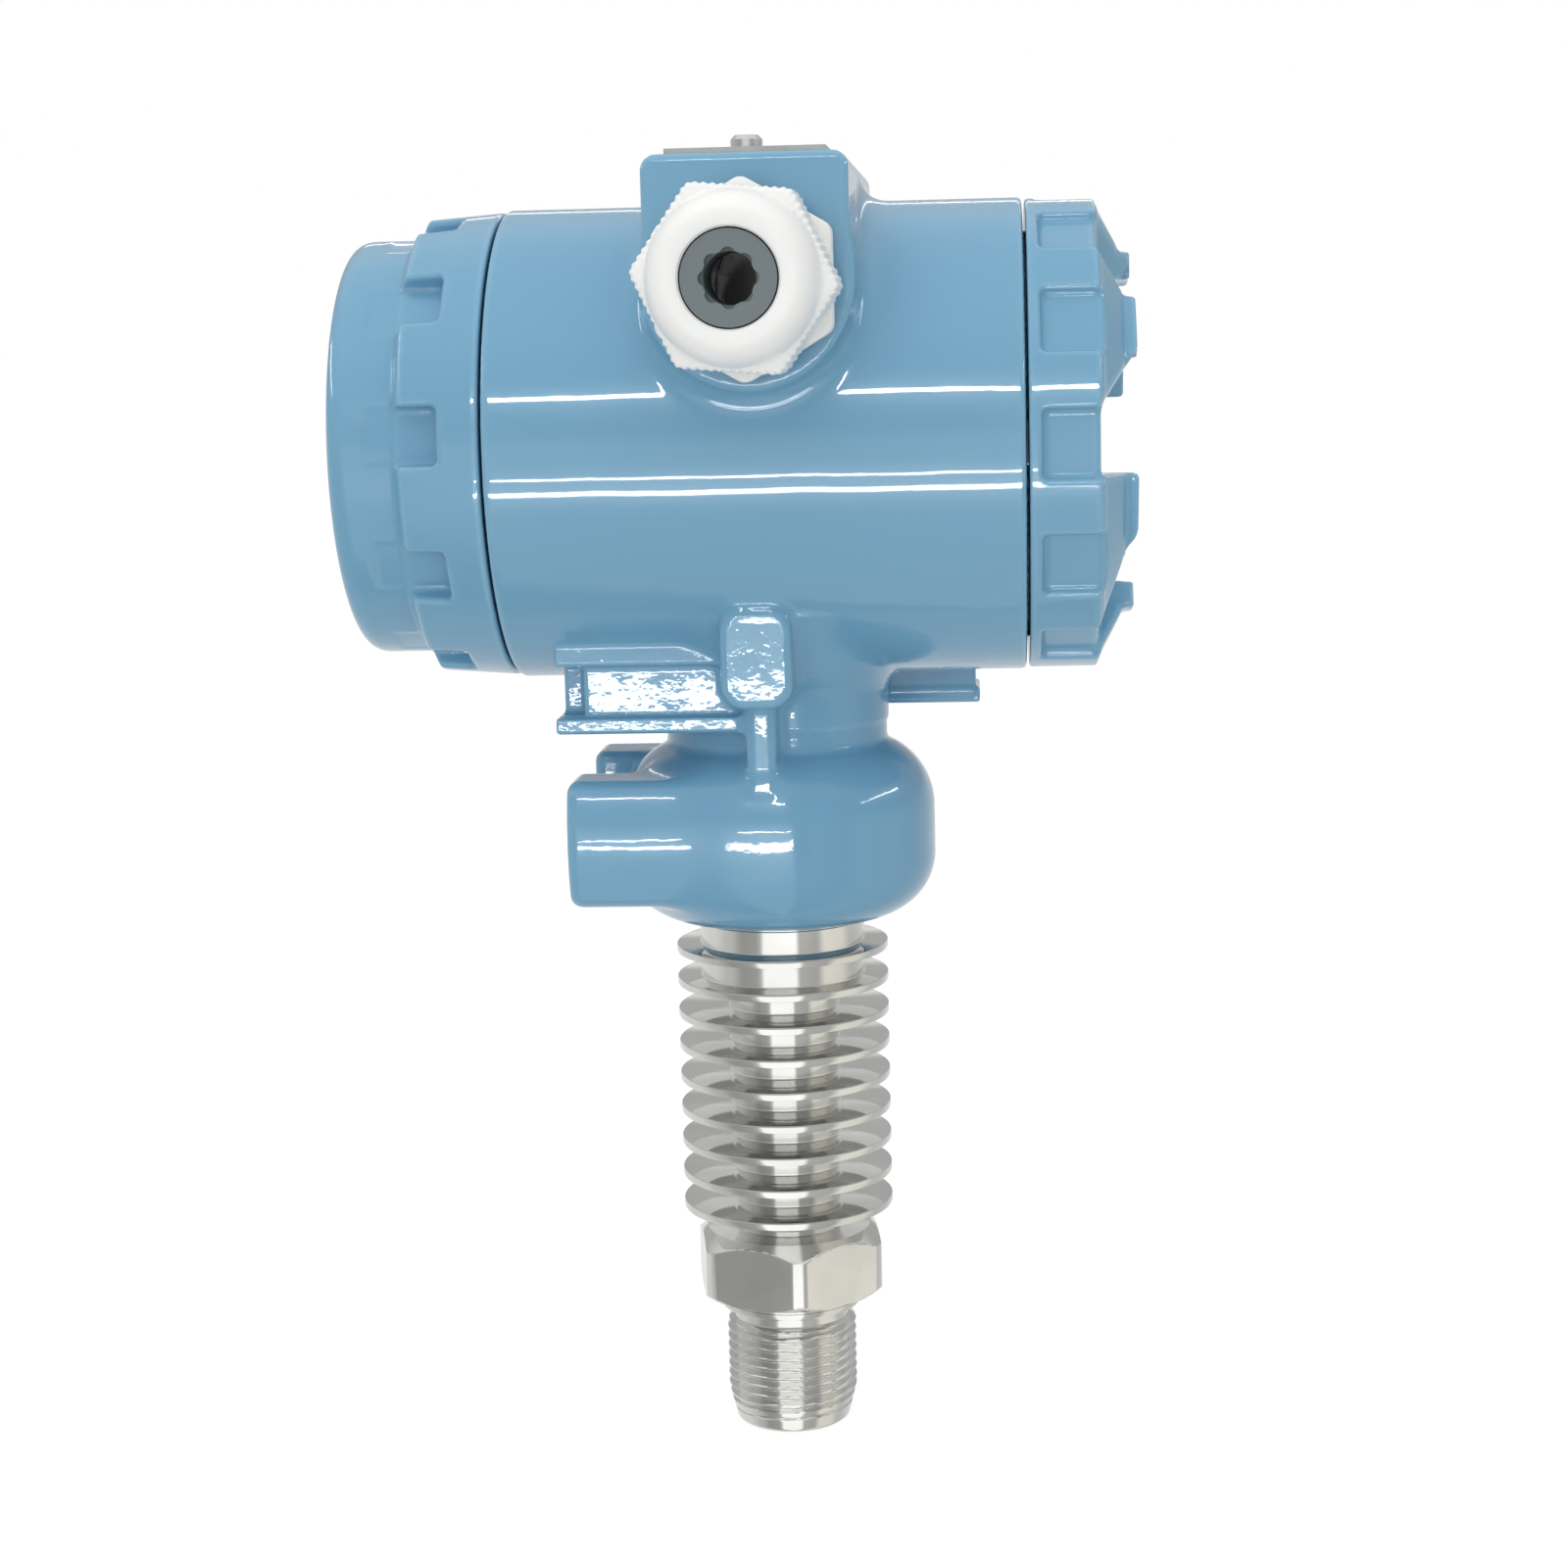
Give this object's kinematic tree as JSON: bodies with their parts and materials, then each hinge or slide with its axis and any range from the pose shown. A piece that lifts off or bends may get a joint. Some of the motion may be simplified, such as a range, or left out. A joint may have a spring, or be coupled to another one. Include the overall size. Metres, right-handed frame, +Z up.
{
  "type": "pressure transmitter",
  "caption": "Gauge pressure transmitter: round two compartment painted housing with cable gland, finned stainless cooling neck and screwed process connection.",
  "frame": {"origin": "on the axis of the process thread, 15.4 mm below the top face of the hexagon foot, inside the full part of the thread", "axes": "+Z up the process thread axis toward the housing, +X along the barrel toward the terminal cover (the display side is -X), -Y toward the cable gland"},
  "size_m": [0.1139, 0.1078, 0.1942],
  "materials": {
    "paint": "gloss",
    "stainless": "turned",
    "bright_steel": "satin",
    "glass": "clear",
    "black_rubber": "matte",
    "grey_rubber": "matte",
    "white_plastic": "satin",
    "black_plastic": "matte",
    "potting": "matte",
    "board": "satin",
    "display": "gloss",
    "brass": "satin",
    "red_sleeve": "satin"
  },
  "bodies": {
    "transmitter": {"housing": "paint", "gland_body": "white_plastic", "gland_washer": "black_rubber", "blanking_plug": "bright_steel", "plug_washer": "black_rubber", "plate_screws": "bright_steel", "electronics_module": "potting", "main_board": "board", "board_spacers": "bright_steel", "display_bezel": "black_plastic", "lcd_panel": "display", "board_screws": "bright_steel", "terminal_block": "black_plastic", "terminal_screws": "brass", "inner_earth_screw": "bright_steel", "outer_earth_screw": "bright_steel", "outer_earth_clamp": "bright_steel", "lead_bush": "grey_rubber", "sensor_leads": "red_sleeve", "sensor_capsule": "stainless", "diaphragm": "stainless", "process_connector": "stainless", "connector_seal": "black_rubber", "lock_screw": "bright_steel"},
    "display_seal": {"display_oring": "black_rubber"},
    "display_cap": {"display_cover": "paint", "window_glass": "glass", "window_gasket": "grey_rubber", "window_ring": "bright_steel"},
    "terminal_seal": {"terminal_oring": "black_rubber"},
    "terminal_cap": {"terminal_cover": "paint"},
    "cable_seal": {"gland_seal": "grey_rubber"},
    "clamping_nut": {"gland_nut": "white_plastic"},
    "adjustment_plate": {"cover_plate": "bright_steel"},
    "zero_key": {"zero_button": "brass"},
    "span_key": {"span_button": "brass"}
  },
  "joints": [
    {"name": "display_cover_travel", "type": "slide", "parent": "transmitter", "child": "display_seal", "axis": [-1, 0, 0], "range_m": [0, 0.0106]},
    {"name": "display_cover_turn", "type": "hinge", "parent": "display_seal", "child": "display_cap", "pos_m": [-0.038, 0, 0.1414], "axis": [-1, 0, 0], "range_deg": [0, 2520]},
    {"name": "terminal_cover_travel", "type": "slide", "parent": "transmitter", "child": "terminal_seal", "axis": [1, 0, 0], "range_m": [0, 0.0106]},
    {"name": "terminal_cover_turn", "type": "hinge", "parent": "terminal_seal", "child": "terminal_cap", "pos_m": [0.038, 0, 0.1414], "axis": [1, 0, 0], "range_deg": [0, 2520]},
    {"name": "gland_nut_travel", "type": "slide", "parent": "transmitter", "child": "cable_seal", "axis": [0, -1, 0], "range_m": [0, 0.0091]},
    {"name": "gland_nut_turn", "type": "hinge", "parent": "cable_seal", "child": "clamping_nut", "pos_m": [0, -0.05, 0.1644], "axis": [0, -1, 0], "range_deg": [0, 2160]},
    {"name": "plate_swing", "type": "hinge", "parent": "transmitter", "child": "adjustment_plate", "pos_m": [0, -0.03, 0.182], "axis": [0, 0, -1], "range_deg": [0, 110]},
    {"name": "zero_press", "type": "slide", "parent": "transmitter", "child": "zero_key", "axis": [0, 0, -1], "range_m": [0, 0.0013], "stiffness_N_per_m": 900},
    {"name": "span_press", "type": "slide", "parent": "transmitter", "child": "span_key", "axis": [0, 0, -1], "range_m": [0, 0.0013], "stiffness_N_per_m": 900}
  ],
  "couplings": [
    {"joint": "display_cover_travel", "follows": "display_cover_turn", "m_per_rad": 0.00023873},
    {"joint": "terminal_cover_travel", "follows": "terminal_cover_turn", "m_per_rad": 0.00023873},
    {"joint": "gland_nut_travel", "follows": "gland_nut_turn", "m_per_rad": 0.00023873}
  ]
}
